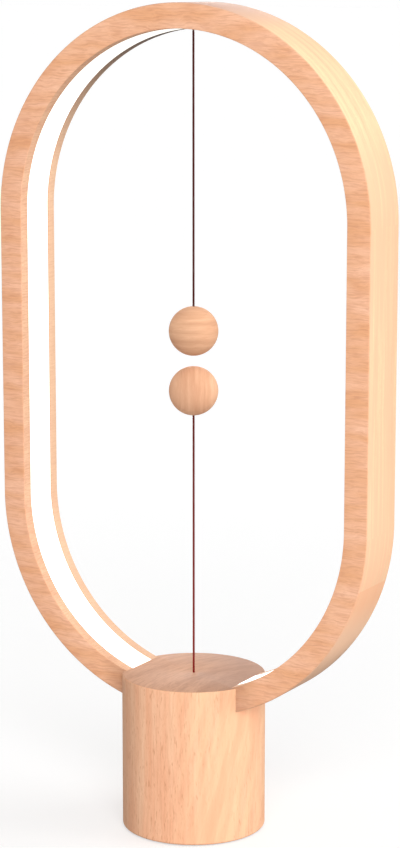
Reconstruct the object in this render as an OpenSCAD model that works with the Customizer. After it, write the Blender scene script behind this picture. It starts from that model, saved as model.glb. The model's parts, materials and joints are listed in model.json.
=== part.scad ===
// Magnetic balance lamp: an upright wooden ring with a light channel on a turned wooden base.
// Two wooden balls with magnets inside hang and stand on taut threads in the middle of the ring.
// Millimetres. The ring stands in the XZ plane with its front towards -Y, and the floor is z = 0.

/* [Ring] */
// Overall height of the lamp above the floor
lamp_h = 400; // [340:5:460]
// Overall width of the ring
ring_w = 200; // [170:5:240]
// Radial thickness of the ring
ring_t = 12; // [10:0.5:16]
// Depth of the ring from front to back
ring_d = 30; // [26:1:40]
// Height of the ring's underside above the floor
ring_z = 60; // [58:1:75]
// Width of the wooden rim on each side of the light channel
rim_w = 6; // [3:0.5:8]
// Depth of the light channel
channel_h = 5; // [4.5:0.1:6]
// Chamfer on the wooden edges
edge = 0.4; // [0.2:0.1:1]

/* [Base] */
// Diameter of the turned base
base_d = 70; // [66:1:90]
// Thickness of the cap over the ring
cap_t = 5; // [3.5:0.5:8]
// Wall of the base around its cavity
wall = 7; // [5.5:0.5:9]
// Wood left between the cavity and the ring
ceiling = 8; // [5:0.5:9]
// Thickness of the foot pad
pad_t = 1; // [1:0.1:2]
// How far the foot pad stands below the wood
pad_proud = 0.5; // [0.3:0.1:0.9]
// Thickness of the bottom cover
cover_t = 3; // [2.8:0.1:4]
// Width of the wooden rim around the bottom cover
cover_rim = 2; // [1.5:0.1:3]
// Height of the steel ballast
ballast_h = 12; // [10:0.5:14]

/* [Light] */
// Wall of the diffuser over the light channel
diffuser_t = 1.6; // [1:0.1:2]
// Wall of the diffuser's legs
leg_t = 1.2; // [0.8:0.1:2]
// Angle left open at the bottom of the ring, on each side
open_angle = 15; // [13:0.5:17]
// Width of the LED strip
strip_w = 8; // [6:0.5:10]
// Thickness of the LED strip
strip_t = 0.3; // [0.2:0.1:0.5]
// Distance between LEDs
led_pitch = 16.5; // [10:0.5:25]
// LED width across the strip, length along it and height
led_size = [2.8, 3.5, 0.7];

/* [Balls and threads] */
// Diameter of each wooden ball
ball_d = 23.7; // [22:0.1:30]
// Height of the upper ball's centre
upper_z = 245.4; // [225:1:270]
// Air gap between the two balls
ball_gap = 5.2; // [3:0.1:12]
// Thread diameter
thread_d = 1.1; // [0.8:0.1:1.4]
// Diameter of the magnet in each ball
magnet_d = 10; // [8:0.5:12]
// Height of each magnet
magnet_h = 5; // [3:0.5:6]
// Wood over each magnet, at its middle
plug_t = 2.85; // [2:0.05:3.5]
// Height of the pocket for the knot behind each magnet
pocket_h = 4; // [3.4:0.1:5]
// Diameter of the knot at each thread's end
knot_d = 3.2; // [2.4:0.1:3.4]

/* [Pull switch] */
// Travel of the pull rod
travel = 3; // [2:0.1:3.2]
// Diameter of the pull rod
rod_d = 5; // [4:0.1:6]
// Radius of the rod's collar
collar_r = 7.5; // [7:0.1:7.8]
// Thickness of the rod's collar
collar_t = 1.5; // [1:0.1:2.5]
// Thickness of the carrier's deck
deck_t = 2; // [1.5:0.1:3]
// Height of the guide above the deck
tower_h = 24; // [22:0.5:26]
// Thickness of the guide plate
guide_t = 2; // [1.5:0.1:3]
// Length of the micro switch
switch_l = 17; // [16:0.5:17.5]
// Width of the micro switch
switch_w = 6.4; // [5.6:0.1:7]
// Height of the micro switch
switch_h = 9.6; // [8.5:0.1:10]
// Height of the lever's pin above the micro switch
lever_rise = 4; // [3.8:0.1:5]
// Thickness of the switch lever
lever_t = 0.3; // [0.2:0.05:0.5]
// Width of the switch button along the lever
button_w = 1.6; // [1.2:0.1:2]
// Distance from the lever's pin to the button's middle
button_arm = 6; // [5:0.1:7]
// Wire diameter of the return spring
spring_wire = 0.6; // [0.4:0.05:0.8]
// Middle diameter of the return spring
spring_d = 7.4; // [7:0.1:9]
// Turns of the return spring
spring_turns = 5; // [4:1:7]

/* [Power inlet and board] */
// Width of the socket
inlet_w = 8.94; // [8.5:0.01:9.5]
// Height of the socket
inlet_h = 3.2; // [3:0.01:3.5]
// Length of the socket
inlet_l = 8.5; // [7:0.1:9]
// Sheet thickness of the socket
inlet_wall = 0.3; // [0.2:0.05:0.5]
// How deep the plug's recess is, from the base's side to the socket's mouth
recess = 4.5; // [3:0.1:5]
// Width of the plug's recess
recess_w = 13.2; // [12.8:0.1:16]
// Height of the plug's recess
recess_h = 7.4; // [7:0.1:9]
// Width of the control board
board_w = 26; // [24:0.5:27]
// Depth of the control board
board_l = 11; // [10:0.5:12]
// Thickness of the control board
board_t = 1.6; // [1:0.1:2]
// Height of the posts under the control board
post_h = 2; // [1.5:0.1:3]

/* [Fits] */
// Radial clearance of a sliding or turning fit
run = 0.05; // [0.03:0.01:0.1]
// Gap between fitted pieces that don't move on each other
fit = 0.1; // [0.05:0.01:0.2]
// Air around a piece that moves free
air = 0.3; // [0.2:0.05:0.5]

/* [Hidden] */
$fn = 96;

over = 1; // how far a cutting shape runs past what it cuts

// Ring
ring_r = ring_w / 2;
inner_r = ring_r - ring_t;
channel_r = inner_r + channel_h;
channel_w = ring_d - 2 * rim_w;
arc_low = ring_z + ring_r;
arc_top = lamp_h - ring_r;
strip_r = channel_r - strip_t;
led_r = sqrt(pow(strip_r, 2) - pow(led_size[1] / 2, 2)); // where an LED's flat back meets the curved strip

// Base, from the floor up
base_r = base_d / 2;
cavity_r = base_r - wall;
cover_r = base_r - cover_rim;
seam_z = ring_z + ring_t;
base_h = seam_z + cap_t;
ballast_z = pad_t + cover_t;
plate_z = ballast_z + ballast_h;
deck_z = plate_z + deck_t;
ceiling_z = ring_z - ceiling;
ballast_r = cavity_r - fit;

// Screws: head radius, head height, shank radius
ring_screw = [2.6, 1.8, 1.5];
cover_screw = [2, 1.5, 1.1];
stack_screw = [2.75, 1.7, 1.5];
board_screw = [1.9, 1.3, 1];
screw_x = 18;       // of each ring screw from the middle
screw_grip = 4;     // wood of the ring that a ring screw reaches into
cover_screw_r = (cavity_r + cover_r) / 2;
cover_screw_l = 10; // wood that a cover screw reaches into
stack_r = cavity_r - 6;
boss_r = 3.5;
boss_h = 7;
screw_angles = [30, 150, 270];
head_gap = 0.1;     // between a screw's head and the foot pad

// Threads, pivots and balls
thread_r = thread_d / 2;
hole_r = thread_r + run;
free_r = thread_r + air;
ball_r = ball_d / 2;
knot_r = knot_d / 2;
lower_z = upper_z - ball_d - ball_gap;
swivel_r = thread_r;
upper_pivot = arc_top + inner_r - 0.8;
lower_pivot = base_h + travel + 0.9;
magnet_r = magnet_d / 2;
magnet_s = plug_t - ball_r;             // magnet's outer face, from the ball's centre
bore_top = magnet_s + magnet_h + pocket_h;
bore_r = magnet_r + run;

// Thread anchor on the diffuser's inside
anchor_r = 1.5;
flange_r = 3;
flange_t = 0.8;
flange_z = arc_top + inner_r + diffuser_t;
anchor_low = upper_pivot + swivel_r + air;
anchor_knot_r = 0.75;

// Thread guide through the wood under the cap
guide_tube_r = free_r + 0.65;
guide_tube_top = base_h - 1.5;

// Pull rod, its guides and the lever above the micro switch
rod_r = rod_d / 2;
rod_hole = rod_r + run;
guide_z = deck_z + tower_h;
guide_top = guide_z + guide_t;
rod_top = guide_top + travel;
clip_t = 0.8;
clip_r = rod_r + 1.5;
clip_z = plate_z - fit - clip_t;
rod_low = clip_z - 0.6;
crimp_h = min(3, ceiling_z - rod_top - 1);
crimp_r = thread_r + 1;
well_r = clip_r + 1;
leg_w = 10;         // of each tower leg, along x
tower_leg = 2;      // of each tower leg, along y
leg_y = collar_r + 1;
side_gap = 2;       // from the micro switch to the cavity's wall
switch_x = cavity_r - side_gap - switch_l;
lever_z = deck_z + switch_h + lever_rise;
touch = 0.15;       // between the lever and what it works with
collar_z = lever_z + lever_t / 2 + touch;
collar_top = collar_z + collar_t;
pin_x = switch_x + switch_l - 1.5;
pin_r = 0.5;
lever_tip = collar_r - 1.2;
cheek_t = 1;
cheek_l = 3.5;
lever_w = switch_w - 2 * cheek_t - 0.4;
button_x = pin_x - button_arm;
button_y = 3;
button_top = lever_z - lever_t / 2 - fit;
button_low = deck_z + 4;
blade = [1.5, 2, 2.5];  // each solder blade on the switch's side
blade_x = [2, 7];       // of the blades from the switch's near end
blade_z = deck_z + 1.8;

// Control board and socket, on posts above the deck
board_z = deck_z + post_h;
board_top = board_z + board_t;
board_gap = 0.8;    // from the board's corners to the cavity's wall, along y
board_y = sqrt(pow(cavity_r, 2) - pow(board_w / 2, 2)) - board_gap - board_l;
post_x = board_w / 2 - 3;
post_y = board_y + 3;
post_r = 1.8;
inlet_z = board_top + inlet_h / 2;
mouth_y = base_r - recess;
bezel_t = 1.5;
tongue_h = 0.7;
tongue_w = 6.7;
tongue_l = 5;

// Wires
wire_r = 0.5;
wire_end = [0, 1.5, 0];      // straight stretch at each end of a switch wire
wire_pair = [0.57, 0.57, 0]; // half the step from one lead to the other
duct_r = 2;
duct = [12, 5, 0];

wood = [0.87, 0.72, 0.55];
pale_wood = [0.93, 0.84, 0.68];
end_wood = [0.79, 0.63, 0.53];
thread_red = [0.4, 0.18, 0.13];

// ---------- Helpers ----------

// Cylinder of radius r from height z0 to z1
module rod(r, z0, z1) {
    translate([0, 0, z0]) cylinder(r = r, h = z1 - z0);
}

// Tube of radii r0 and r1 from height z0 to z1
module tube(r0, r1, z0, z1) {
    difference() {
        rod(r1, z0, z1);
        rod(r0, z0 - over, z1 + over);
    }
}

// Cylinder with a chamfered top and bottom edge
module turned(r, z0, z1, low, high) {
    if (low > 0)
        translate([0, 0, z0]) cylinder(r1 = r - low, r2 = r, h = low);
    rod(r, z0 + low, z1 - high);
    if (high > 0)
        translate([0, 0, z1 - high]) cylinder(r1 = r, r2 = r - high, h = high);
}

// Sweeps a section (x is the radius, y the depth) round the ring
module around() {
    for (side = [0, 1])
        mirror([side, 0, 0]) {
            translate([0, 0, arc_low])
                linear_extrude(arc_top - arc_low) children();
            translate([0, 0, arc_top]) rotate([90, 0, 0])
                rotate_extrude(angle = 90) children();
            translate([0, 0, arc_low]) rotate([90, 0, 0]) rotate([0, 0, 270])
                rotate_extrude(angle = 90) children();
        }
}

// Wedge that leaves the light channel open at the bottom, inside the base
module open_wedge() {
    far = ring_w;
    translate([0, ring_d / 2, arc_low]) rotate([90, 0, 0])
        linear_extrude(ring_d)
            polygon([
                [0, 0],
                [-far * tan(open_angle), -far],
                [far * tan(open_angle), -far]
            ]);
}

// Solid cylinder lying along y, on the ring's lower centre
module ring_drum(r, depth) {
    translate([0, 0, arc_low]) rotate([90, 0, 0]) cylinder(r = r, h = depth, center = true);
}

// Flat slot outline with round ends, w wide and h high, extruded from y0 to y1
module slot_block(w, h, y0, y1) {
    translate([0, y1, 0]) rotate([90, 0, 0])
        linear_extrude(y1 - y0) {
            square([w - h, h], center = true);
            for (side = [-1, 1])
                translate([side * (w - h) / 2, 0]) circle(d = h);
        }
}

// Screw with its head's outer face at z0, pointing up, of total length l
module screw(s, z0, l) {
    rod(s[0], z0, z0 + s[1]);
    rod(s[2], z0 + s[1], z0 + l);
}

// Puts its children at each screw angle, at radius r
module at_angles(r) {
    for (a = screw_angles)
        rotate([0, 0, a]) translate([r, 0, 0]) children();
}

// Direction of a route at point i, halfway between its two stretches
function heading(p, i) = unit(
    (i > 0 ? unit(p[i] - p[i - 1]) : [0, 0, 0]) + (i < len(p) - 1 ? unit(p[i + 1] - p[i]) : [0, 0, 0])
);
function unit(v) = v / norm(v);

// One insulated wire of radius r along a list of points, as a closed eight-sided tube
module wire(points, r) {
    sides = 8;
    last = len(points) - 1;
    rings = [for (i = [0 : last], k = [0 : sides - 1])
        let (
            h = heading(points, i),
            u = unit(cross([1, 1, 0], h)),
            a = k * 360 / sides
        )
        points[i] + r * (cos(a) * u + sin(a) * cross(h, u))];
    walls = [for (i = [0 : last - 1], k = [0 : sides - 1], half = [0, 1])
        let (
            low = i * sides + k,
            low_next = i * sides + (k + 1) % sides
        )
        half == 0 ? [low, low + sides, low_next] : [low_next, low + sides, low_next + sides]];
    ends = [for (k = [1 : sides - 2], end = [0, 1])
        end == 0 ? [0, k, k + 1] : [last * sides, last * sides + k + 1, last * sides + k]];
    polyhedron(rings, concat(walls, ends));
}

// Puts a ball's parts at height z, with the thread side up or down
module at_ball(z, thread_up) {
    translate([0, 0, z]) rotate([thread_up ? 0 : 180, 0, 0]) children();
}

// ---------- Ring and light ----------

// Section of the ring: a chamfered bar with a channel in its inner face
module ring_section() {
    h = ring_d / 2;
    difference() {
        polygon([
            [inner_r + edge, -h], [ring_r - edge, -h], [ring_r, -h + edge], [ring_r, h - edge],
            [ring_r - edge, h], [inner_r + edge, h], [inner_r, h - edge], [inner_r, -h + edge]
        ]);
        translate([inner_r - over, -channel_w / 2]) square([channel_h + over, channel_w]);
    }
}

// Holes under the ring for the thread guide, the lead wires and the ring screws
module ring_holes() {
    rod(guide_tube_r, 0, guide_tube_top);
    translate(duct) rod(duct_r, 0, seam_z);
    for (side = [-1, 1])
        translate([side * screw_x, 0, 0]) rod(ring_screw[2], ceiling_z - over, ring_z + screw_grip);
}

module wood_ring() {
    color(wood)
        difference() {
            around() ring_section();
            ring_holes();
        }
}

// U-shaped translucent cover that fills the channel's mouth
module diffuser() {
    color([1, 1, 0.98])
        difference() {
            around()
                difference() {
                    translate([inner_r, -channel_w / 2]) square([channel_h, channel_w]);
                    translate([inner_r + diffuser_t, leg_t - channel_w / 2])
                        square([channel_h, channel_w - 2 * leg_t]);
                }
            open_wedge();
            rod(anchor_r, arc_top, lamp_h - ring_t + channel_h);
        }
}

module led_strip() {
    color([0.95, 0.9, 0.8])
        difference() {
            around() translate([strip_r, -strip_w / 2]) square([strip_t, strip_w]);
            open_wedge();
        }
}

// One LED on the strip, at the angle and height given
module led(angle, z) {
    translate([0, 0, z]) rotate([0, -angle, 0])
        translate([led_r - led_size[2], -led_size[0] / 2, -led_size[1] / 2])
            cube([led_size[2], led_size[0], led_size[1]]);
}

module leds() {
    step = led_pitch / strip_r * 180 / PI;
    straight = arc_top - arc_low;
    count = floor(straight / led_pitch);
    color([1, 0.95, 0.6])
        for (side = [0, 1])
            mirror([side, 0, 0]) {
                for (i = [0 : count - 1])
                    led(0, arc_low + straight / 2 + (i - (count - 1) / 2) * led_pitch);
                for (a = [step / 2 : step : 90 - step / 4])
                    led(a, arc_top);
                for (a = [step / 2 : step : 90 - open_angle - step / 4])
                    led(-a, arc_low);
            }
}

// Grommet in the diffuser's top that the upper thread comes out of
module thread_anchor() {
    color([0.9, 0.9, 0.88])
        difference() {
            union() {
                rod(anchor_r, anchor_low, flange_z);
                rod(flange_r, flange_z, flange_z + flange_t);
            }
            rod(hole_r, anchor_low - over, flange_z + flange_t + over);
        }
}

// Fixed end of the upper thread, knotted above the grommet
module anchor_knot() {
    knot_z = flange_z + flange_t + sqrt(pow(anchor_knot_r, 2) - pow(hole_r, 2));
    color(thread_red) {
        rod(thread_r, anchor_low, knot_z);
        translate([0, 0, knot_z]) sphere(r = anchor_knot_r);
    }
}

// ---------- Base ----------

module base_shell() {
    color(wood)
        difference() {
            turned(base_r, pad_proud, seam_z, edge, 0);
            rod(cavity_r, 0, ceiling_z);
            rod(cover_r + fit, 0, ballast_z);
            ring_drum(ring_r, ring_d);
            ring_holes();
            at_angles(cover_screw_r) rod(cover_screw[2], 0, ballast_z + cover_screw_l);
            translate([0, 0, inlet_z]) slot_block(recess_w, recess_h, mouth_y - bezel_t, base_r + over);
            translate([0, 0, inlet_z])
                slot_block(inlet_w + 2 * fit, inlet_h + 2 * fit, 0, base_r);
        }
}

// Lid glued over the ring, hollowed below to sit on the ring's inner face
module base_cap() {
    color(end_wood)
        difference() {
            turned(base_r, seam_z, base_h, 0, edge);
            difference() {
                ring_drum(ring_r, ring_d);
                ring_drum(inner_r, ring_d + over);
            }
            rod(guide_tube_r, 0, guide_tube_top);
            rod(free_r, 0, base_h + over);
        }
}

module thread_guide() {
    color([0.8, 0.65, 0.35]) tube(free_r, guide_tube_r, ceiling_z, guide_tube_top);
}

module ring_screws() {
    color([0.7, 0.7, 0.72])
        for (side = [-1, 1])
            translate([side * screw_x, 0, 0])
                screw(ring_screw, ceiling_z - ring_screw[1], ring_screw[1] + ceiling + screw_grip);
}

module foot_pad() {
    color([0.15, 0.15, 0.15]) rod(cover_r - 1.5, 0, pad_t);
}

module bottom_cover() {
    color([0.2, 0.2, 0.2])
        difference() {
            rod(cover_r, pad_t, ballast_z);
            at_angles(cover_screw_r) {
                rod(cover_screw[0] + fit, 0, pad_t + head_gap + cover_screw[1]);
                rod(cover_screw[2] + fit, 0, ballast_z + over);
            }
            at_angles(stack_r) {
                rod(stack_screw[0] + fit, 0, pad_t + head_gap + stack_screw[1]);
                rod(stack_screw[2] + fit, 0, ballast_z + over);
            }
        }
}

module cover_screws() {
    color([0.7, 0.7, 0.72])
        at_angles(cover_screw_r)
            screw(cover_screw, pad_t + head_gap, cover_t - head_gap + cover_screw_l);
}

module ballast() {
    color([0.45, 0.45, 0.47])
        difference() {
            rod(ballast_r, ballast_z, plate_z);
            rod(well_r, ballast_z - over, plate_z + over);
            at_angles(stack_r) rod(stack_screw[2] + fit, 0, plate_z + over);
        }
}

module stack_screws() {
    color([0.7, 0.7, 0.72])
        at_angles(stack_r)
            screw(stack_screw, pad_t + head_gap, deck_z + boss_h - 1 - pad_t - head_gap);
}

// Plastic deck with the rod's guide tower, the screw bosses and the board's posts
module switch_carrier() {
    color([0.9, 0.9, 0.9])
        difference() {
            union() {
                rod(ballast_r, plate_z, deck_z);
                at_angles(stack_r) rod(boss_r, deck_z, deck_z + boss_h);
                for (side = [-1, 1]) {
                    translate([-leg_w / 2, side * (leg_y + tower_leg / 2) - tower_leg / 2, deck_z])
                        cube([leg_w, tower_leg, tower_h]);
                    translate([side * post_x, post_y, 0]) rod(post_r, deck_z, board_z);
                }
                translate([-leg_w / 2, -leg_y - tower_leg, guide_z])
                    cube([leg_w, 2 * (leg_y + tower_leg), guide_t]);
            }
            rod(rod_hole, plate_z - over, guide_top + over);
            at_angles(stack_r) rod(stack_screw[2], plate_z - over, deck_z + boss_h + over);
            for (side = [-1, 1])
                translate([side * post_x, post_y, 0])
                    rod(board_screw[2], plate_z - over, board_z + over);
        }
}

// ---------- Pull switch ----------

module micro_switch() {
    color([0.1, 0.1, 0.1])
        difference() {
            union() {
                translate([switch_x, -switch_w / 2, deck_z]) cube([switch_l, switch_w, switch_h]);
                for (side = [-1, 1])
                    translate([
                        switch_x + switch_l - cheek_l,
                        side * (switch_w - cheek_t) / 2 - cheek_t / 2,
                        deck_z + switch_h
                    ])
                        cube([cheek_l, cheek_t, lever_rise + 1.5]);
            }
            translate([pin_x, 0, lever_z]) rotate([90, 0, 0])
                cylinder(r = pin_r + run, h = switch_w + over, center = true);
            translate([button_x - button_w / 2 - fit, -button_y / 2 - fit, button_low - travel])
                cube([button_w + 2 * fit, button_y + 2 * fit, switch_h + over]);
        }
}

// Solder blades on the switch's side
module switch_terminals() {
    color([0.75, 0.75, 0.78])
        for (x = blade_x)
            translate([switch_x + x, switch_w / 2, blade_z]) cube(blade);
}

// Spring-steel lever with its pin, resting just under the rod's collar
module switch_lever() {
    color([0.8, 0.8, 0.82]) {
        translate([lever_tip, -lever_w / 2, lever_z - lever_t / 2])
            cube([pin_x - lever_tip, lever_w, lever_t]);
        translate([pin_x, 0, lever_z]) rotate([90, 0, 0])
            cylinder(r = pin_r, h = switch_w, center = true);
    }
}

module switch_button() {
    color([0.8, 0.1, 0.1])
        translate([button_x - button_w / 2, -button_y / 2, button_low])
            cube([button_w, button_y, button_top - button_low]);
}

module switch_wires() {
    color([0.1, 0.1, 0.6])
        for (i = [0, 1]) {
            start = [switch_x + blade_x[i] + blade[0] / 2, switch_w / 2 + blade[1], blade_z + blade[2] / 2];
            end = [board_w / 2 - 6 + 3 * i, board_y, board_z + board_t / 2];
            wire([start, start + wire_end, end - wire_end, end], wire_r);
        }
}

module pull_rod() {
    color([0.92, 0.92, 0.94])
        difference() {
            union() {
                rod(rod_r, rod_low, rod_top);
                rod(collar_r, collar_z, collar_top);
            }
            rod(hole_r, rod_top - 2, rod_top + over);
        }
}

// Ring that stops the rod under the deck while the ball is held up
module stop_clip() {
    color([0.5, 0.5, 0.52]) tube(rod_r, clip_r, clip_z, clip_z + clip_t);
}

module thread_crimp() {
    color([0.8, 0.65, 0.35]) tube(hole_r, crimp_r, rod_top, rod_top + crimp_h);
}

module pull_thread() {
    color(thread_red) rod(thread_r, rod_top - 2, lower_pivot - swivel_r - air);
}

// Level cut through one turn of the spring's wire, as half its width at the angle a
function coil_half(a, pitch) = sqrt(max(0, pow(spring_wire / 2, 2) - pow(pitch * a / 360, 2)));

// Compression spring between the rod's collar and the guide
module return_spring() {
    pitch = (guide_z - collar_top) / spring_turns;
    reach = spring_wire / 2 / pitch * 360;
    angles = [for (i = [-4 : 4]) i / 4 * reach * 0.99];
    inner = [for (a = angles) (spring_d / 2 - coil_half(a, pitch)) * [cos(a), sin(a)]];
    outer = [for (i = [8 : -1 : 0])
        (spring_d / 2 + coil_half(angles[i], pitch)) * [cos(angles[i]), sin(angles[i])]];
    color([0.75, 0.75, 0.78])
        translate([0, 0, collar_top])
            linear_extrude(
                height = guide_z - collar_top,
                twist = -360 * spring_turns,
                slices = 20 * spring_turns,
                segments = 18
            )
                polygon(concat(inner, outer));
}

// ---------- Electronics ----------

module control_board() {
    color([0.1, 0.4, 0.2])
        difference() {
            translate([-board_w / 2, board_y, board_z]) cube([board_w, board_l, board_t]);
            for (side = [-1, 1])
                translate([side * post_x, post_y, 0])
                    rod(board_screw[2] + fit, board_z - over, board_top + over);
        }
}

// Choke, driver chip and two capacitors
module board_parts() {
    choke = [5, 5, 2.5];
    chip = [4, 4, 1];
    color([0.25, 0.25, 0.27]) {
        translate([-choke[0] - 1.5, board_y + 0.7, board_top]) cube(choke);
        translate([0, board_y + 1.2, board_top]) cube(chip);
        for (side = [-1, 1])
            translate([side * (board_w / 2 - 4), board_y + board_l - 3.5, board_top])
                cylinder(d = 4, h = 5);
    }
}

module board_screws() {
    color([0.7, 0.7, 0.72])
        for (side = [-1, 1])
            translate([side * post_x, post_y, 0]) {
                rod(board_screw[2], deck_z, board_top);
                rod(board_screw[0], board_top, board_top + board_screw[1]);
            }
}

// Two leads from the board up through the wood to the LED strip's end
module lead_wires() {
    strip_x = strip_r * sin(open_angle);
    strip_end = arc_low - strip_r * cos(open_angle);
    start = [board_w / 2 - 8, board_y + board_l - 3, board_top];
    color([0.7, 0.1, 0.1])
        for (side = [-1, 1])
            wire([
                start + side * wire_pair,
                start + side * wire_pair + [0, 0, 8],
                duct + side * wire_pair + [0, 0, ceiling_z - 4],
                duct + side * wire_pair + [0, 0, seam_z - 2.7],
                [strip_x, side * 1.5, strip_end + wire_r]
            ], wire_r);
}

module inlet_shell() {
    color([0.75, 0.75, 0.78])
        translate([0, 0, inlet_z])
            difference() {
                slot_block(inlet_w, inlet_h, mouth_y - inlet_l, mouth_y);
                slot_block(
                    inlet_w - 2 * inlet_wall, inlet_h - 2 * inlet_wall,
                    mouth_y - inlet_l + 1, mouth_y + over
                );
            }
}

module inlet_tongue() {
    color([0.1, 0.1, 0.1])
        translate([-tongue_w / 2, mouth_y - inlet_l + 1, inlet_z - tongue_h / 2])
            cube([tongue_w, tongue_l, tongue_h]);
}

// Trim plate at the bottom of the plug's recess
module inlet_bezel() {
    color([0.15, 0.15, 0.15])
        translate([0, 0, inlet_z])
            difference() {
                slot_block(recess_w - 2 * fit, recess_h - 2 * fit, mouth_y - bezel_t, mouth_y);
                slot_block(inlet_w, inlet_h, mouth_y - bezel_t - over, mouth_y + over);
            }
}

// ---------- Balls and threads ----------

// Ball with a thread hole on one side and a magnet bore on the other
module ball() {
    color(pale_wood)
        difference() {
            sphere(r = ball_r);
            rod(bore_r, -ball_r - over, bore_top);
            rod(hole_r, 0, ball_r + over);
        }
}

module magnet() {
    color([0.7, 0.7, 0.72]) rod(magnet_r, magnet_s, magnet_s + magnet_h);
}

// Wooden plug that closes the magnet's bore and completes the sphere
module plug() {
    color(pale_wood)
        intersection() {
            sphere(r = ball_r);
            rod(bore_r, -ball_r - over, magnet_s);
        }
}

module thread_knot() {
    color(thread_red) translate([0, 0, bore_top - knot_r]) sphere(r = knot_r);
}

module upper_swivel() {
    color(thread_red) translate([0, 0, upper_pivot]) sphere(r = swivel_r);
}

module upper_thread() {
    color(thread_red) rod(thread_r, upper_z + bore_top, upper_pivot - swivel_r - air);
}

module upper_knot() {
    at_ball(upper_z, true) thread_knot();
}

module upper_ball() {
    at_ball(upper_z, true) ball();
}

module upper_magnet() {
    at_ball(upper_z, true) magnet();
}

module upper_plug() {
    at_ball(upper_z, true) plug();
}

module lower_swivel() {
    color(thread_red) translate([0, 0, lower_pivot]) sphere(r = swivel_r);
}

module lower_thread() {
    color(thread_red) rod(thread_r, lower_pivot + swivel_r + air, lower_z - bore_top);
}

module lower_knot() {
    at_ball(lower_z, false) thread_knot();
}

module lower_ball() {
    at_ball(lower_z, false) ball();
}

module lower_magnet() {
    at_ball(lower_z, false) magnet();
}

module lower_plug() {
    at_ball(lower_z, false) plug();
}

wood_ring();
diffuser();
led_strip();
leds();
thread_anchor();
anchor_knot();
base_shell();
base_cap();
thread_guide();
ring_screws();
foot_pad();
bottom_cover();
cover_screws();
ballast();
stack_screws();
switch_carrier();
micro_switch();
switch_terminals();
switch_lever();
switch_button();
switch_wires();
pull_rod();
stop_clip();
thread_crimp();
pull_thread();
return_spring();
control_board();
board_parts();
board_screws();
lead_wires();
inlet_shell();
inlet_tongue();
inlet_bezel();
upper_swivel();
upper_thread();
upper_knot();
upper_ball();
upper_magnet();
upper_plug();
lower_swivel();
lower_thread();
lower_knot();
lower_ball();
lower_magnet();
lower_plug();
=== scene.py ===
"""Magnetic balance lamp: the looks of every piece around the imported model, in metres and in the model's own frame."""

import json
from functools import partial
from math import asin, ceil, cos, pi, radians, sin, sqrt, tau

import bmesh
import bpy
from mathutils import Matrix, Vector

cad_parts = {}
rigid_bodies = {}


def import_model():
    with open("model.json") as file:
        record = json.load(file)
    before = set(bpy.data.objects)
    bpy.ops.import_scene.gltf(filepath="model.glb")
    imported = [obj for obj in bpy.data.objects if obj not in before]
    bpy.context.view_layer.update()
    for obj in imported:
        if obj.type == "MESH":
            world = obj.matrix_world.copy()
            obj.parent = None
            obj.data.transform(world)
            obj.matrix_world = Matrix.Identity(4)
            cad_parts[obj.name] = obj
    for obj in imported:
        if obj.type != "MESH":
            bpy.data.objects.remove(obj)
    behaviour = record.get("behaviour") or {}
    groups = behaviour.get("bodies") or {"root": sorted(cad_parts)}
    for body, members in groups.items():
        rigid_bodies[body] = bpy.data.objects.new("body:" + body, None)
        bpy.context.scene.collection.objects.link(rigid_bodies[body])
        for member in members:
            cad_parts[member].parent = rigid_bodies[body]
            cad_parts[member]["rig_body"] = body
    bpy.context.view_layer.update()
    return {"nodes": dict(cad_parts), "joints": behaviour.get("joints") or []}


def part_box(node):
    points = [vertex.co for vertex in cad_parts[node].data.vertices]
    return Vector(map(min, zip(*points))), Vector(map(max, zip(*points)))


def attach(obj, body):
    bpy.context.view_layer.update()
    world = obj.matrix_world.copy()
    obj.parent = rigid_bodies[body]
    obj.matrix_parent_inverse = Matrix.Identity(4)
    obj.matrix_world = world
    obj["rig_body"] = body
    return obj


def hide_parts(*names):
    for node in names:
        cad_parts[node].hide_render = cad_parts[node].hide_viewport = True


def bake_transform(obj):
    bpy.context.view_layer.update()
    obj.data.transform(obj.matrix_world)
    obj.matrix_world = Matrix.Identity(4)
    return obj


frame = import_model()
nodes = frame["nodes"]
joints = {joint["name"]: joint for joint in frame["joints"]}
mm = 0.001

# ---------- Camera ----------
# The lamp is seen from its front right, a little above the balls, through a long lens. The lens is given for
# the photograph's height of 848 pixels, and the whole lamp just fits in the frame.
camera_yaw = radians(29.53)
camera_pitch = radians(10.35)
camera_away = 1156.0 * mm
camera_high = 411.4 * mm
camera_aside = 3.07 * mm
photo_height = 848
focal_pixels = 2447.3
sensor = 36.0


def make_object(name, data, material=None):
    """New object for the data, linked to the scene, with its one material."""
    made = bpy.data.objects.new(name, data)
    bpy.context.scene.collection.objects.link(made)
    if material:
        data.materials.clear()
        data.materials.append(material)
    return made


camera_data = bpy.data.cameras.new("camera")
camera_data.sensor_width = sensor
camera_data.lens = focal_pixels * sensor / photo_height
camera = make_object("camera", camera_data)
to_right = Vector((cos(camera_yaw), sin(camera_yaw), 0))
to_front = Vector((sin(camera_yaw), -cos(camera_yaw), 0))
camera.location = to_front * camera_away + to_right * camera_aside + Vector((0, 0, camera_high))
camera.rotation_euler = (pi / 2 - camera_pitch, 0, camera_yaw)
bpy.context.scene.camera = camera

# ---------- Threads ----------
# Three-ply cotton thread, dyed dark red-brown. One length hangs from a knot above the ring's inner face to a
# knot in the upper ball; the other runs from the pull rod in the base up to a knot in the lower ball.
thread_r = (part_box("upper_thread")[1].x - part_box("upper_thread")[0].x) / 2
ply_place = 0.36 * thread_r
ply_r = thread_r - ply_place
thread_lay = 3.6 * mm
thread_step = 0.24 * mm
thread_colour = (146, 38, 31)
thread_dark = (104, 30, 26)
thread_top = (58, 32, 31)
knot_r = 1.6 * mm
knot_thread_r = 0.42 * mm


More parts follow.
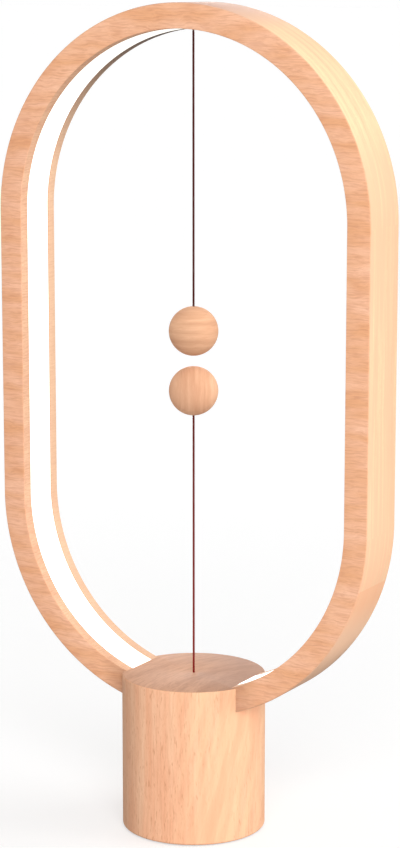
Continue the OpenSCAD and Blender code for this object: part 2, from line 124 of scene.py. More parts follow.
def linear(colour):
    """A colour of 0 to 255 a channel, as Blender's linear colour."""
    return tuple((c / 255 / 12.92) if c <= 10 else ((c / 255 + 0.055) / 1.055) ** 2.4 for c in colour) + (1,)


def add(tree, kind, links=None, **settings):
    """Adds a node. links gives each input, by name or number, a value or the socket that feeds it."""
    made = tree.nodes.new(kind)
    for name, value in settings.items():
        setattr(made, name, value)
    for name, value in (links or {}).items():
        if isinstance(value, bpy.types.NodeSocket):
            tree.links.new(value, made.inputs[name])
        else:
            made.inputs[name].default_value = value
    return made


def calc(operation, *values, **settings):
    """Result of a Math node on the values, of which at least one is a socket."""
    tree = next(value.id_data for value in values if isinstance(value, bpy.types.NodeSocket))
    return add(tree, "ShaderNodeMath", dict(enumerate(values)), operation=operation, **settings).outputs[0]


times, plus, minus, over, above, below = (
    partial(calc, operation) for operation in ("MULTIPLY", "ADD", "SUBTRACT", "DIVIDE", "GREATER_THAN", "LESS_THAN")
)


def remap(value, low, high, to_low=0.0, to_high=1.0):
    """Value taken from the range low to high to another range, and held inside it."""
    links = {0: value, 1: low, 2: high, 3: to_low, 4: to_high}
    return add(value.id_data, "ShaderNodeMapRange", links).outputs[0]


def mixed(share, first, second):
    """Colour between first and second by the share, each a socket or a colour of 0 to 255 a channel."""
    first, second = (linear(colour) if isinstance(colour, tuple) else colour for colour in (first, second))
    return add(share.id_data, "ShaderNodeMix", {0: share, 6: first, 7: second}, data_type="RGBA").outputs[2]


def vectors(operation, place, other):
    """Result of a Vector Math node on a place and another vector."""
    return add(place.id_data, "ShaderNodeVectorMath", {0: place, 1: other}, operation=operation).outputs[0]


def stretched(place, *scale):
    """Place multiplied by a scale along each axis, or by one scale along all three."""
    return vectors("MULTIPLY", place, scale if len(scale) == 3 else scale * 3)


def split(place):
    """The place's X, Y and Z."""
    return add(place.id_data, "ShaderNodeSeparateXYZ", {0: place}).outputs


def joined(tree, x=0.0, y=0.0, z=0.0):
    """The place with that X, Y and Z."""
    return add(tree, "ShaderNodeCombineXYZ", {0: x, 1: y, 2: z}).outputs[0]


def noise(place, detail=2.0, roughness=0.5):
    """Noise of scale one at the place."""
    links = {"Vector": place, "Scale": 1.0, "Detail": detail, "Roughness": roughness}
    return add(place.id_data, "ShaderNodeTexNoise", links).outputs[0]


def start_material(name, **uniform):
    """New material, its node tree and Object coordinates in millimetres. Uniform values go on the shader's sockets."""
    material = bpy.data.materials.new(name)
    material.use_nodes = True
    tree = material.node_tree
    for socket, value in uniform.items():
        tree.nodes["Principled BSDF"].inputs[socket.replace("_", " ")].default_value = value
    return material, tree, stretched(add(tree, "ShaderNodeTexCoord").outputs["Object"], 1000)


def feed(value, name):
    """Feeds the value to that input of its material's shader."""
    value.id_data.links.new(value, value.id_data.nodes["Principled BSDF"].inputs[name])


def bumped(height, distance, strength=1.0):
    """Feeds the height to the shader's normal through a Bump node."""
    links = {"Height": height, "Distance": distance, "Strength": strength}
    feed(add(height.id_data, "ShaderNodeBump", links).outputs[0], "Normal")


def stand_for(piece, slot, *replaced):
    """The piece replaces CAD nodes and rides on the first one's body. slot is not used."""
    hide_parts(*replaced)
    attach(piece, nodes[replaced[0]]["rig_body"])
    return piece


def settle(work, mesh, smooth_below):
    """Puts the bmesh in the mesh, its normals outwards and its sides smooth where they meet below that angle."""
    bmesh.ops.recalc_face_normals(work, faces=work.faces)
    work.to_mesh(mesh)
    work.free()
    mesh.shade_smooth()
    mesh.set_sharp_from_angle(angle=radians(smooth_below))
    return mesh


def mesh_of(name, points, faces, smooth_below=40):
    """Mesh from points and faces."""
    mesh = bpy.data.meshes.new(name)
    mesh.from_pydata(points, [], faces)
    work = bmesh.new()
    work.from_mesh(mesh)
    bmesh.ops.remove_doubles(work, verts=work.verts, dist=1e-7)
    return settle(work, mesh, smooth_below)


def rows_of_faces(rows, sides):
    """Faces of a tube between rows of that many points each."""
    return [
        (i * sides + k, i * sides + (k + 1) % sides, (i + 1) * sides + (k + 1) % sides, (i + 1) * sides + k)
        for i in range(rows - 1) for k in range(sides)
    ]


def sweep(name, line, section, material, lay=None, size=None):
    """Closed tube along a line. section holds (angle, radius) pairs; lay is the length of one full twist."""
    points = []
    side = None
    twist = 0.0
    sides = len(section)
    for i, point in enumerate(line):
        ahead = (line[min(i + 1, len(line) - 1)] - line[max(i - 1, 0)]).normalized()
        if side is None:
            side = ahead.orthogonal()
        side = (side - ahead * side.dot(ahead)).normalized()
        other = ahead.cross(side)
        if lay and i:
            twist += (point - line[i - 1]).length / lay * tau
        grow = size(i / (len(line) - 1)) if size else 1.0
        for angle, radius in section:
            turned = angle + twist
            points.append(point + (side * cos(turned) + other * sin(turned)) * radius * grow)
    faces = rows_of_faces(len(line), sides)
    faces += [tuple(range(sides)), tuple(range(len(points) - sides, len(points)))]
    return make_object(name, mesh_of(name, points, faces, smooth_below=60), material)


def ply_edge(angle):
    """Outer radius of three plies side by side, in that direction."""
    off = (angle + pi / 3) % (tau / 3) - pi / 3
    return ply_place * cos(off) + sqrt(ply_r**2 - (ply_place * sin(off))**2)


def wire_section(radius, sides=10):
    """Round section for a sweep."""
    return [(k / sides * tau, radius) for k in range(sides)]


def straight_line(low, high, steps):
    """Points up the lamp's axis from one height to another."""
    return [Vector((0, 0, low + (high - low) * i / steps)) for i in range(steps + 1)]


thread_section = [(angle, ply_edge(angle)) for angle, _ in wire_section(thread_r, 24)]

thread_red, _, place = start_material("thread_cotton", Roughness=1.0, Specular_IOR_Level=0.0)
fibre = noise(stretched(place, 9, 9, 3), detail=3)
fade = noise(stretched(place, 0.02, 0.02, 0.06))
shade = calc("MULTIPLY_ADD", fibre, 0.7, times(fade, 0.4))
# The thread darkens towards the top.
darker_higher = remap(split(place)[2], 80, 260, 0.0, 0.85)
feed(mixed(darker_higher, mixed(shade, thread_dark, thread_colour), thread_top), "Base Color")
bumped(fibre, 0.04 * mm)

tuck = 0.4 * mm  # how far a thread's end runs into the bead at its pivot
ends = {name: [corner.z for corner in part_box(name)] for name in ("upper_thread", "lower_thread", "pull_thread")}
upper_pivot = joints["upper_fore_aft"]["pos_m"][2]
lower_pivot = joints["lower_fore_aft"]["pos_m"][2]
ends["upper_thread"][1] = upper_pivot - tuck
ends["lower_thread"][0] = lower_pivot + tuck
ends["pull_thread"][1] = lower_pivot - tuck
for name, (low, high) in ends.items():
    line = straight_line(low, high, ceil((high - low) / thread_step))
    thread = sweep("cotton_" + name, line, thread_section, thread_red, lay=thread_lay)
    if name == "upper_thread":
        line.reverse()
    stand_for(thread, "thread_red", name)

# Where a thread bends at its pivot, a small round bead of thread joins its two ends.
bead_section = [(angle, radius / thread_r) for angle, radius in thread_section]
bead_steps = 24
for name, pivot in (("upper_swivel", upper_pivot), ("lower_swivel", lower_pivot)):
    turns = [pi * (i + 0.02) / (bead_steps + 0.04) for i in range(bead_steps + 1)]
    line = [Vector((0, 0, pivot - thread_r * cos(turn))) for turn in turns]
    bead = sweep(
        "thread_bend_" + name, line, bead_section, thread_red, lay=thread_lay,
        size=lambda share: thread_r * max(sin(pi * (share * bead_steps + 0.02) / (bead_steps + 0.04)), 0.02),
    )
    stand_for(bead, "thread_red", name)


def knot_line(radius, centre, up):
    """Overhand knot inside a ball of that radius, with its standing end leaving up or down along the axis."""
    line = []
    for i in range(61):
        turn = tau * (0.02 + 0.92 * i / 60)
        x = sin(turn) + 2 * sin(2 * turn)
        y = cos(turn) - 2 * cos(2 * turn)
        line.append(centre + Vector((x, y, -1.4 * sin(3 * turn))) * radius / 3.4)
    return [centre + Vector((0, 0, up * radius))] + line


for name, up in (("upper_knot", 1), ("lower_knot", -1)):
    low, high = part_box(name)
    line = knot_line(knot_r - knot_thread_r, (low + high) / 2, up)
    stand_for(sweep("tied_" + name, line, wire_section(knot_thread_r), thread_red), "thread_red", name)

end_knot_r = 0.75 * mm
end_thread_r = 0.25 * mm
stub_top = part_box("anchor_knot")[1].z - end_knot_r
line = straight_line(upper_pivot + tuck, stub_top, 12)
stub = sweep("thread_stub", line, thread_section, thread_red, lay=thread_lay)
stand_for(stub, "thread_red", "anchor_knot")
line = knot_line(end_knot_r - end_thread_r, Vector((0, 0, stub_top)), -1)
end_knot = sweep("thread_end_knot", line, wire_section(end_thread_r), thread_red)
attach(end_knot, "lamp_body")

# ---------- Ring ----------
# Upright stadium ring of solid beech, 30 mm deep, sawn and sanded with crisp edges. A channel in its inner
# face holds the light. Its flat faces show fine wavy lines across, its outer face pale streaks along it.
ring_low, ring_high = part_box("wood_ring")
ring_half = ring_high.x
ring_leg = ring_high.z - ring_low.z - 2 * ring_half
arc_low = ring_low.z + ring_half
ring_thick = 12 * mm
cover_low, cover_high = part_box("diffuser")
middle = ring_half - ring_thick / 2
half_thick = ring_thick / 2
half_deep = (ring_high.y - ring_low.y) / 2
half_channel = (cover_high.y - cover_low.y) / 2
channel_floor = cover_high.x - middle
ring_edge = 0.45 * mm
outer_edge = 0.8 * mm
channel_edge = 0.15 * mm
path_step = 1.5 * mm
front_light = (254, 202, 168)
front_dark = (239, 178, 134)
front_line = (192, 120, 90)
outer_light = (255, 229, 184)
outer_dark = (253, 210, 168)
outer_pink = (252, 200, 162)
crown_pink = (214, 174, 156)
seam_pink = (250, 191, 151)
low_pink = (255, 209, 174)
painted_underside_shade = (200, 165, 140)
painted_back_edge_shade = (104, 84, 78)
inner_light = (246, 203, 167)
inner_dark = (238, 188, 154)
inner_back = (222, 190, 160)
painted_apex_shade = (84, 77, 75)
painted_seat_shade = (160, 118, 94)
outer_edge_shade = 0.06  # how much darker the outer edges are
channel_edge_shade = 0.4  # and how much the edges of the channel


def rounded(corners, steps=4):
    """Closed outline whose square corners, (x, y, corner radius) each, are rounded."""
    outline = []
    for i, (x, y, radius) in enumerate(corners):
        here = Vector((x, y))
        to_before = (Vector(corners[i - 1][:2]) - here).normalized() * radius
        to_after = (Vector(corners[(i + 1) % len(corners)][:2]) - here).normalized() * radius
        for k in range(steps + 1 if radius else 1):
            turn = pi / 2 * k / steps
            outline.append(here + to_before * (1 - sin(turn)) + to_after * (1 - cos(turn)))
    return [tuple(point) for point in outline]


def start_tree(name, kind, inputs, outputs):
    """New node tree with named sockets, each given a default number or its kind; also the sockets' identifiers,
    and the outputs of the node that brings in what is given."""
    tree = bpy.data.node_groups.new(name, kind)
    found = {}
    for in_out, sockets in (("INPUT", inputs), ("OUTPUT", outputs)):
        for label, value in sockets.items():
            label = label.replace("_", " ")
            number = not isinstance(value, str)
            socket_type = "NodeSocket" + ("Float" if number else value)
            socket = tree.interface.new_socket(name=label, in_out=in_out, socket_type=socket_type)
            if number:
                socket.default_value = value
            found[label] = socket.identifier
    return tree, found, add(tree, "NodeGroupInput").outputs


def stored(geometry, name, value, kind):
    """The geometry with the value kept on its points under that name."""
    links = {"Geometry": geometry, "Name": name, "Value": value}
    made = add(geometry.id_data, "GeometryNodeStoreNamedAttribute", links, data_type=kind, domain="POINT")
    return made.outputs[0]


def recalled(tree, name, kind):
    """The value kept under that name."""
    return add(tree, "GeometryNodeInputNamedAttribute", {"Name": name}, data_type=kind).outputs[0]


def end_tree(geometry, material):
    """Ends the geometry's tree with plain mesh of the material."""
    tree = geometry.id_data
    whole = add(tree, "GeometryNodeRealizeInstances", {0: geometry}).outputs[0]
    whole = add(tree, "GeometryNodeSetMaterial", {"Geometry": whole, "Material": material}).outputs[0]
    add(tree, "NodeGroupOutput", {0: whole})


# Node group: the ring's middle line, from the bottom up the right leg, over the top and down the left leg.
# It leaves out a gap at the bottom, and stores how far along each point is.
stadium_sizes = dict(Radius=0.1, Leg=0.14, Low_centre=0.16, Gap=0.0, Step=0.002)
path_group, _, given = start_tree("stadium_path", "GeometryNodeTree", stadium_sizes, dict(Path="Geometry"))
quarter = times(given["Radius"], pi / 2)
whole = calc("MULTIPLY_ADD", quarter, 4.0, times(given["Leg"], 2.0))
used = calc("MULTIPLY_ADD", given["Gap"], -2.0, whole)
count = calc("CEIL", over(used, given["Step"]))
share = over(add(path_group, "GeometryNodeInputIndex").outputs[0], count)
along = calc("MULTIPLY_ADD", share, used, given["Gap"])


def stretch_of(start, length):
    """How much of one stretch of the path lies before the point."""
    return add(path_group, "ShaderNodeClamp", {0: minus(along, start), 1: 0.0, 2: length}).outputs[0]


top_arc = plus(quarter, given["Leg"])
half_turn = times(quarter, 2.0)
left_leg = plus(top_arc, half_turn)
last_arc = plus(left_leg, given["Leg"])
bent = plus(plus(stretch_of(0.0, quarter), stretch_of(top_arc, half_turn)), stretch_of(last_arc, quarter))
turned = minus(over(bent, given["Radius"]), pi / 2)
path_x = times(calc("COSINE", turned), given["Radius"])
path_z = calc("MULTIPLY_ADD", calc("SINE", turned), given["Radius"], given["Low centre"])
climbed = minus(stretch_of(quarter, given["Leg"]), stretch_of(left_leg, given["Leg"]))
spot = joined(path_group, path_x, 0.0, plus(path_z, climbed))
points = add(path_group, "GeometryNodeMeshLine", {"Count": plus(count, 1.0)}).outputs[0]
placed = add(path_group, "GeometryNodeSetPosition", {"Geometry": points, "Position": spot}).outputs[0]
add(path_group, "NodeGroupOutput", {0: stored(placed, "along", along, "FLOAT")})

# Tree: sweeps the outline of the object that it is on along that path. It stores each point's place in the
# straightened board, (along, depth, outwards), for the grain to follow.
sweep_inputs = dict(Outline="Geometry", **stadium_sizes, Closed="Bool", Material="Material")
sweep_tree, sweep_sockets, given = start_tree("ring_sweep", "GeometryNodeTree", sweep_inputs, dict(Swept="Geometry"))
path = add(sweep_tree, "GeometryNodeGroup", node_tree=path_group)
for socket in path.inputs:
    sweep_tree.links.new(given[socket.name], socket)
line = add(sweep_tree, "GeometryNodeMeshToCurve", {0: path.outputs[0]}).outputs[0]
outline = add(sweep_tree, "GeometryNodeMeshToCurve", {0: given["Outline"]}).outputs[0]
outline = stored(outline, "section", add(sweep_tree, "GeometryNodeInputPosition").outputs[0], "FLOAT_VECTOR")
caps = minus(1.0, given["Closed"])
swept = add(sweep_tree, "GeometryNodeCurveToMesh", {0: line, 1: outline, "Fill Caps": caps}).outputs[0]
section = split(recalled(sweep_tree, "section", "FLOAT_VECTOR"))
depth = times(section[0], -1.0)
board = joined(sweep_tree, recalled(sweep_tree, "along", "FLOAT"), depth, section[1])
swept = stored(swept, "board", board, "FLOAT_VECTOR")
for name in ("section", "along"):
    swept = add(sweep_tree, "GeometryNodeRemoveAttribute", {0: swept, "Name": name}).outputs[0]
swept = add(sweep_tree, "GeometryNodeMergeByDistance", {"Geometry": swept, "Distance": 1e-6}).outputs[0]
end_tree(swept, given["Material"])


def as_mesh(piece):
    """New mesh of the piece as its modifiers leave it."""
    return bpy.data.meshes.new_from_object(piece.evaluated_get(bpy.context.evaluated_depsgraph_get()))


def run_tree(name, start, tree, sockets, values, smooth_below=35):
    """Plain mesh object of what the tree makes from the start object, which is then removed."""
    modifier = start.modifiers.new(name, "NODES")
    modifier.node_group = tree
    for socket, value in values.items():
        modifier[sockets[socket]] = value
    mesh = as_mesh(start)
    mesh.name = name
    bpy.data.objects.remove(start)
    work = bmesh.new()
    work.from_mesh(mesh)
    return make_object(name, settle(work, mesh, smooth_below))


def along_ring(name, half, gap, closed, material):
    """An outline swept along the ring. half has one side's corners, (depth, outwards, corner radius) each."""
    outline = rounded(half + [(-x, y, radius) for x, y, radius in reversed(half)])
    mesh = bpy.data.meshes.new(name + "_outline")
    mesh.from_pydata([(x, y, 0) for x, y in outline], [(i, (i + 1) % len(outline)) for i in range(len(outline))], [])
    return run_tree(name, make_object(name + "_outline", mesh), sweep_tree, sweep_sockets, {
        "Radius": middle, "Leg": ring_leg, "Low centre": arc_low, "Gap": gap, "Step": path_step, "Closed": closed,
        "Material": material,
    })


def carve(piece, cutter, smooth_below=35):
    """Cuts the cutter out of the piece, leaves the piece a plain mesh and removes the cutter."""
    cut = piece.modifiers.new("carve", "BOOLEAN")
    cut.operation = "DIFFERENCE"
    cut.object = cutter
    cut.solver = "EXACT"
    mesh = as_mesh(piece)
    piece.modifiers.clear()
    piece.data = mesh
    bpy.data.objects.remove(cutter)
    mesh.set_sharp_from_angle(angle=radians(smooth_below))


def drill(piece, holes):
    """Cuts round holes, each (x, y, radius, lowest z, highest z), out of the piece."""
    work = bmesh.new()
    for x, y, radius, low, high in holes:
        made = bmesh.ops.create_cone(work, cap_ends=True, segments=48, radius1=radius, radius2=radius, depth=high - low)
        bmesh.ops.translate(work, verts=made["verts"], vec=(x, y, (low + high) / 2))
    mesh = bpy.data.meshes.new("drill")
    work.to_mesh(mesh)
    work.free()
    carve(piece, make_object("drill", mesh))


# Shader group: beech cut along the grain. The grain runs along Place's X, and Y and Z lie across it, in
# millimetres. Soft tonal bands, thin wavy lines and short dark flecks are worked out one over the other.
beech, _, given = start_tree("beech_grain", "ShaderNodeTree", dict(
    Place="Vector", Light="Color", Dark="Color", Line="Color", Band_width=12.0, Band_length=80.0, Line_gap=0.8,
    Line_length=6.0, Lines=0.3, Flecks=0.0, Wander=2.0,
), dict(Color="Color", Roughness="Float", Height="Float"))
drift = times(minus(noise(stretched(given["Place"], 0.1, 0.12, 0.12), detail=1), 0.5), given["Wander"])
shifted = vectors("ADD", given["Place"], joined(beech, 0.0, drift, drift))


def grain_place(length, width):
    """The shifted place, measured in lengths along the grain and in widths across it."""
    return vectors("DIVIDE", shifted, joined(beech, length, width, width))


bands = remap(noise(grain_place(given["Band length"], given["Band width"]), detail=2), 0.32, 0.68)
lines = noise(grain_place(given["Line length"], given["Line gap"]), detail=1.5, roughness=0.4)
lines = times(remap(lines, 0.44, 0.72), given["Lines"])
flecks = times(remap(noise(grain_place(4.4, 0.8), detail=1), 0.615, 0.725), given["Flecks"])
fibres = noise(grain_place(3.0, 0.2), detail=2)
colour = mixed(bands, given["Light"], given["Dark"])
colour = mixed(lines, colour, given["Line"])
colour = mixed(flecks, colour, given["Line"])
colour = mixed(remap(fibres, 0.3, 0.7, 0.0, 0.22), colour, given["Line"])
rough = calc("MULTIPLY_ADD", fibres, 0.15, 0.55)
height = minus(1.0, plus(plus(times(lines, 0.5), times(fibres, 0.4)), flecks))
add(beech, "NodeGroupOutput", {"Color": colour, "Roughness": rough, "Height": height})


def wood(place, light, dark, line, **values):
    """Beech at the place: its colour, roughness and height."""
    links = {"Place": place, "Light": linear(light), "Dark": linear(dark), "Line": linear(line)}
    links |= {name.replace("_", " "): value for name, value in values.items()}
    return add(place.id_data, "ShaderNodeGroup", links, node_tree=beech).outputs


def finish_wood(grain, colour, depth, strength):
    """Gives the material the colour, and the grain's roughness and relief."""
    feed(colour, "Base Color")
    feed(grain["Roughness"], "Roughness")
    bumped(grain["Height"], depth, strength)


def axes(place, first, second, third, turned=0.0):
    """Place turned about the vertical, with its axes in another order, each named by number."""
    links = {"Vector": place, "Axis": (0, 0, 1), "Angle": turned}
    parts = split(add(place.id_data, "ShaderNodeVectorRotate", links).outputs[0])
    return joined(place.id_data, parts[first], parts[second], parts[third])


def on_board(tree, *scale):
    """The point's place in the straightened board, in metres times the scale."""
    return stretched(add(tree, "ShaderNodeAttribute", attribute_name="board").outputs["Vector"], *scale)


ring_wood, tree, place = start_material("ring_beech", Specular_IOR_Level=0.12)
board = on_board(tree, 1000)
_, depth, outward = split(board)
depth = calc("ABSOLUTE", depth)
side_place, back_place, up_place = split(place)
flat_face = remap(depth, (half_deep - 0.6 * mm) / mm, (half_deep - 0.05 * mm) / mm)
flat = wood(axes(place, 0, 2, 1), front_light, front_dark, front_line,
            Band_width=7.0, Band_length=40.0, Line_gap=0.75, Line_length=9.0, Lines=0.34, Wander=2.6)
# Painted shade: the flat faces darken within about a centimetre of the base, in the corner where the ring meets it.
near_base = times(remap(calc("ABSOLUTE", side_place), 31, 44, 0.5, 0.0), below(up_place, 90))
flat_colour = mixed(near_base, flat["Color"], painted_seat_shade)
# Painted shade: the left leg's flat faces are a little darker, on the side away from the lamps.
flat_colour = mixed(remap(side_place, -60, -80, 0.0, 0.1), flat_colour, front_line)

# The ring is glued up from two straight boards and curved ones, whose grain and tone change at each joint.
leg_low, leg_high, leg_middle, leg_seam = 157, 300, 222, 132  # heights in millimetres
in_leg = calc("COMPARE", up_place, (leg_low + leg_high) / 2, (leg_high - leg_low) / 2)
outer_place = vectors("ADD", board, joined(tree, times(in_leg, 400), 60.0))
outer = wood(outer_place, outer_light, outer_dark, front_line,
             Band_width=3.4, Band_length=90.0, Line_gap=0.9, Line_length=26.0, Lines=0.12)
streaks = noise(stretched(outer_place, 0.014, 0.5, 0), detail=3)
from_middle = calc("ABSOLUTE", minus(up_place, leg_middle))
pinker = plus(remap(streaks, 0.42, 0.6, 0.2, 1.1), remap(from_middle, 20, 60, 0.0, 0.35))
pinker = times(pinker, remap(up_place, 345, 322))
pinker = calc("MAXIMUM", pinker, remap(up_place, 372, 396, 0.0, 0.6), use_clamp=True)
outer_colour = mixed(pinker, outer["Color"], outer_pink)
below_seam = times(below(up_place, leg_seam), remap(streaks, 0.3, 0.7, 0.75, 1.0))
outer_colour = mixed(below_seam, outer_colour, seam_pink)
# Near the crown the outer face turns a greyer pink. On the lower arc it turns a paler pink, partly the wood's tone and
# partly painted light where the arc faces down, then darker towards the bottom, painted shade where it faces the floor.
for tone, starts, full, most in (
    (crown_pink, 388, 399, 0.95), (low_pink, 124, 108, 0.9), (painted_underside_shade, 102, 80, 0.65),
):
    outer_colour = mixed(remap(up_place, starts, full, 0.0, most), outer_colour, tone)
# Painted shade: a dark strip along the back edge of the outer face, low on the arc near the base.
at_back_edge = times(remap(up_place, 108, 92, 0.0, 0.35), remap(back_place, 8, 15))
outer_colour = mixed(at_back_edge, outer_colour, painted_back_edge_shade)

inner = wood(axes(place, 1, 2, 0), inner_light, inner_dark, front_line,
             Band_width=7.0, Band_length=50.0, Line_gap=0.6, Flecks=0.05)
high = remap(up_place, 325, 385)
at_back = above(back_place, 0.0)
inner_colour = mixed(times(at_back, 0.45), inner["Color"], inner_back)
# Painted shade: towards the apex the back half of the inner face turns dark grey, where it faces down.
inner_colour = mixed(times(times(high, 0.85), at_back), inner_colour, painted_apex_shade)
side_colour = mixed(above(outward, 0.0), inner_colour, outer_colour)
colour = mixed(flat_face, side_colour, flat_colour)
near_face = above(depth, (half_deep - outer_edge) / mm)
near_side = above(outward, (half_thick - outer_edge) / mm)
# A dark joint line runs along the channel's edges; towards the apex it grows stronger and greyer, painted shade.
near_light = times(below(depth, (half_channel + ring_edge) / mm), below(outward, 0.0))
near_light = times(times(near_light, calc("MULTIPLY_ADD", high, 1.2, 1.0)), channel_edge_shade)
on_edge = times(times(near_face, near_side), outer_edge_shade)
edge_colour = mixed(high, front_line, painted_apex_shade)
finish_wood(flat, mixed(calc("MAXIMUM", on_edge, near_light), colour, edge_colour), 0.05 * mm, 0.6)

ring = along_ring("beech_ring", [
    (-half_deep, half_thick, outer_edge), (-half_deep, -half_thick, ring_edge),
    (-half_channel, -half_thick, channel_edge), (-half_channel, channel_floor, channel_edge),
], 0.0, True, ring_wood)
guide_low, guide_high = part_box("thread_guide")
screw_low, screw_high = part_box("ring_screws")
duct_x, duct_y, duct_r = 12 * mm, 5 * mm, 2 * mm
screw_r = 1.5 * mm
ring_head_r = 2.6 * mm
screw_x = (screw_high.x - screw_low.x) / 2 - ring_head_r
foot_holes = [(0, 0, guide_high.x), (duct_x, duct_y, duct_r), (screw_x, 0, screw_r), (-screw_x, 0, screw_r)]
hole_tops = [guide_high.z + 0.5 * mm, ring_low.z + ring_thick + 1 * mm, screw_high.z, screw_high.z]
drill(ring, [(*hole, ring_low.z - 1 * mm, top) for hole, top in zip(foot_holes, hole_tops)])
stand_for(ring, "ring_wood", "wood_ring")

# ---------- Light ----------
# Strip of warm-white LEDs, stuck to the floor of the channel, under a U-shaped milky acrylic cover pressed into
# the channel's mouth. The lamp is lit, so the cover glows evenly.
open_angle = radians(15)
cover_wall = 1.6 * mm
cover_leg = 1.2 * mm
led_pitch = 16.5 * mm
led_size = Vector((0.7 * mm, 2.8 * mm, 3.5 * mm))

cover_white, tree, _ = start_material("milky_acrylic", Roughness=0.35, Emission_Strength=0.9,
                                      Transmission_Weight=0.0, Specular_IOR_Level=0.3)
board = on_board(tree, 60, 40, 40)
cloud = noise(board, detail=1)
feed(mixed(cloud, (236, 235, 232), (228, 227, 223)), "Base Color")
feed(mixed(cloud, (255, 252, 246), (252, 248, 238)), "Emission Color")
bumped(noise(stretched(board, 60)), 0.01 * mm, 0.3)

cover_side = half_channel - cover_leg
cover_front = cover_wall - half_thick
cover = along_ring("light_cover", [
    (half_channel, -half_thick, 0.3 * mm), (half_channel, channel_floor, 0.1 * mm),
    (cover_side, channel_floor, 0.1 * mm), (cover_side, cover_front, 0.2 * mm),
], middle * open_angle, False, cover_white)
arc_top = arc_low + ring_leg
inner_r = ring_half - ring_thick
anchor_hole_r = 1.5 * mm
drill(cover, [(0, 0, anchor_hole_r, arc_top + inner_r - 2 * mm, arc_top + inner_r + 6 * mm)])
stand_for(cover, "diffuser_white", "diffuser")


def toned(name, spots, light, dark, detail=2.0, along=1.0, **uniform):
    """Material that varies between two tones in soft spots, so many to a millimetre and fewer along the vertical;
    also its place and the noise that mixes them."""
    material, tree, place = start_material(name, **uniform)
    tones = noise(stretched(place, spots, spots, spots * along), detail)
    feed(mixed(tones, light, dark), "Base Color")
    return material, place, tones


def roughened(value, smooth, rough):
    """Lets the roughness follow the value, between smooth and rough."""
    feed(remap(value, 0.3, 0.7, smooth, rough), "Roughness")


strip_white, _, tones = toned("led_tape", 0.4, (238, 234, 222), (226, 220, 204), Roughness=0.5)
bumped(tones, 0.02 * mm, 0.4)


def finish_node(name, material):
    """Gives a carried-over CAD node its material."""
    for slot in nodes[name].material_slots:
        slot.material = material


finish_node("led_strip", strip_white)

# Node tree: one chip on each point of the mesh that it is on, turned about Y by the point's own turn.
chip_tree, chip_sockets, given = start_tree("chips_on_points", "GeometryNodeTree", dict(
    Seats="Geometry", Chip="Object", Material="Material",
), dict(Chips="Geometry"))
chip = add(chip_tree, "GeometryNodeObjectInfo", {"Object": given["Chip"]}, transform_space="ORIGINAL")
turn = add(chip_tree, "FunctionNodeEulerToRotation", {0: recalled(chip_tree, "turn", "FLOAT_VECTOR")}).outputs[0]
end_tree(add(chip_tree, "GeometryNodeInstanceOnPoints", {
    "Points": given["Seats"], "Instance": chip.outputs["Geometry"], "Rotation": turn,
}).outputs[0], given["Material"])


def on_seats(name, shape, seats, material, smooth_below=35):
    """The shape on every seat, a (place, turn) pair each. The shape's own object is removed."""
    mesh = bpy.data.meshes.new(name)
    mesh.from_pydata([place for place, turn in seats], [], [])
    turns = mesh.attributes.new("turn", "FLOAT_VECTOR", "POINT")
    for i, (place, turn) in enumerate(seats):
        turns.data[i].vector = turn
    start = make_object(name, mesh)
    chip = make_object(name + "_shape", shape)
    made = run_tree(name, start, chip_tree, chip_sockets, {"Chip": chip, "Material": material}, smooth_below)
    bpy.data.objects.remove(chip)
    return made


def block(work, low, high, bevel=0.0):
    """Adds a block to the bmesh, its edges bevelled by that much."""
    corners = bmesh.ops.create_cube(work, size=1)["verts"]
    low, high = Vector(low), Vector(high)
    bmesh.ops.scale(work, verts=corners, vec=high - low)
    bmesh.ops.translate(work, verts=corners, vec=(low + high) / 2)
    if bevel:
        edges = list({edge for corner in corners for edge in corner.link_edges})
        bmesh.ops.bevel(work, geom=edges, offset=bevel, segments=1, profile=0.5, affect="EDGES")


led_yellow, _, tones = toned("led_phosphor", 6, (250, 214, 90), (240, 190, 60), Roughness=0.4, Emission_Strength=0.3)
feed(mixed(tones, (255, 238, 170), (255, 224, 140)), "Emission Color")
bumped(tones, 0.02 * mm, 0.5)

# The chip looks along -X, with its back at X = 0: a low package with a domed window.
work = bmesh.new()
block(work, (-0.45 * led_size.x, -led_size.y / 2, -led_size.z / 2), (0, led_size.y / 2, led_size.z / 2), 0.06 * mm)
dome = bmesh.ops.create_uvsphere(work, u_segments=16, v_segments=8, radius=1.0)["verts"]
bmesh.ops.scale(work, verts=dome, vec=(0.54 * led_size.x, 0.42 * led_size.y, 0.42 * led_size.z))
bmesh.ops.translate(work, verts=dome, vec=(-0.45 * led_size.x, 0, 0))
chip_mesh = settle(work, bpy.data.meshes.new("led_chip"), 35)
strip_r = cover_high.x - 0.3 * mm
led_r = sqrt(strip_r**2 - (led_size.z / 2)**2)
led_turn = led_pitch / strip_r
led_count = int(ring_leg / led_pitch)
seats = []
for side in (1, -1):
    spots = [(0.0, arc_low + ring_leg / 2 + (i - (led_count - 1) / 2) * led_pitch) for i in range(led_count)]
    spots += [(led_turn * (i + 0.5), arc_top) for i in range(9)]
    spots += [(-led_turn * (i + 0.5), arc_low) for i in range(7)]
    for turn, high in spots:
        place = Vector((side * led_r * cos(turn), 0, high + led_r * sin(turn)))
        seats.append((place, (0, -turn if side > 0 else pi + turn, 0)))
stand_for(on_seats("led_chips", chip_mesh, seats, led_yellow), "led_yellow", "leds")

white_plastic, place, tones = toned("white_nylon", 0.5, (232, 231, 226), (220, 218, 211), detail=3)
roughened(tones, 0.38, 0.52)
bumped(noise(stretched(place, 5)), 0.02 * mm, 0.3)


